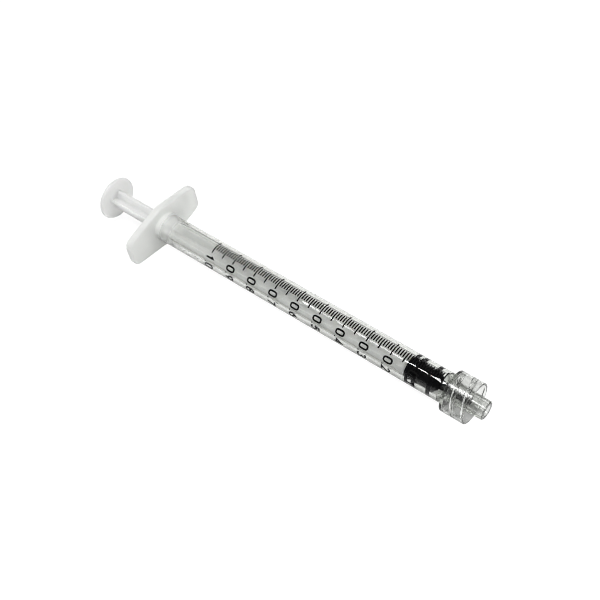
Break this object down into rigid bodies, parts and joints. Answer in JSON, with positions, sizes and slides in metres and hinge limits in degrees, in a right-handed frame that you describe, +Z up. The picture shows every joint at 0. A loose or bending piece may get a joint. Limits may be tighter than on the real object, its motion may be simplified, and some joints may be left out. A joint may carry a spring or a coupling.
{
  "type": "luer lock syringe",
  "caption": "Slim graduated syringe with a lozenge finger flange, a sliding plunger with a spiked rubber stopper, and a threaded lock collar round its tapered nozzle.",
  "frame": {"origin": "centre of the nozzle mouth", "axes": "+X along the syringe's axis out of the nozzle, +Z up with the finger flange's level side down"},
  "size_m": [0.0986, 0.0216, 0.0108],
  "materials": {
    "clear_plastic": "clear moulded polypropylene with a faint milkiness, polished outside",
    "scale_ink": "thin black printing ink",
    "milky_plastic": "translucent natural polypropylene, satin",
    "stopper_rubber": "lubricated black rubber"
  },
  "bodies": {
    "barrel_body": {"barrel": "clear_plastic", "scale_marks": "scale_ink"},
    "stopper_body": {"stopper": "stopper_rubber"},
    "rod_body": {"plunger_rod": "milky_plastic"}
  },
  "joints": [
    {"name": "plunger_slide", "type": "slide", "parent": "barrel_body", "child": "stopper_body", "axis": [-1, 0, 0], "range_m": [-0.00155, 0.063]},
    {"name": "rod_swivel", "type": "hinge", "parent": "stopper_body", "child": "rod_body", "pos_m": [-0.0174, 0, 0], "axis": [1, 0, 0], "continuous": true}
  ]
}
